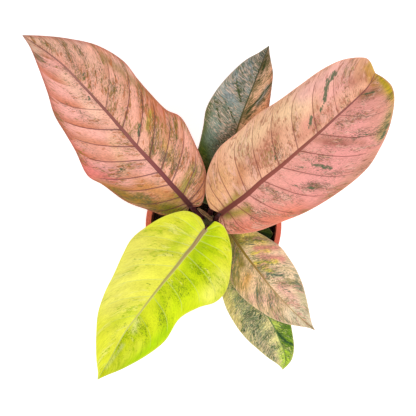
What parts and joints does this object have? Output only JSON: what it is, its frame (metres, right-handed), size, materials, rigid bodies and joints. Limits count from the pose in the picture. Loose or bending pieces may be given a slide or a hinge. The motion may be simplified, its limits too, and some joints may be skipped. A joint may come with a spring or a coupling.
{
  "type": "potted variegated anthurium hookeri",
  "caption": "Rosette of broad variegated anthurium leaves on dark stalks, in a terracotta-coloured plastic nursery pot.",
  "frame": {"origin": "middle of the pot's flat base, on the surface that the pot stands on", "axes": "+Z up along the pot's axis; seen from above +X is right and +Y is up, the large pink leaves point to +X +Y and -X +Y, the chartreuse leaf to -X -Y"},
  "size_m": [0.3372, 0.3164, 0.1984],
  "materials": {
    "pot": "satin moulded plastic, terracotta colour",
    "potting_mix": "damp coarse bark mix",
    "stem": "rough bark",
    "dry_sheath": "dry and papery",
    "straw": "dry",
    "petiole": "satin, dark maroon",
    "blade_pink": "satin leaf, salmon pink with olive freckles",
    "blade_chartreuse": "satin leaf, chartreuse with green freckles",
    "blade_mottled": "satin leaf, mottled cream, pink and green",
    "blade_green": "satin leaf, dark green"
  },
  "bodies": {
    "root": {"pot": "pot", "potting_mix": "potting_mix", "stem": "stem", "dry_sheath": "dry_sheath", "straw": "straw", "petiole_1": "petiole", "petiole_2": "petiole", "petiole_3": "petiole", "petiole_4": "petiole", "petiole_5": "petiole", "petiole_6": "petiole", "petiole_7": "petiole", "blade_1": "blade_pink", "blade_2": "blade_pink", "blade_3": "blade_chartreuse", "blade_4": "blade_mottled", "blade_5": "blade_mottled", "blade_6": "blade_mottled", "blade_7": "blade_green"}
  },
  "joints": []
}
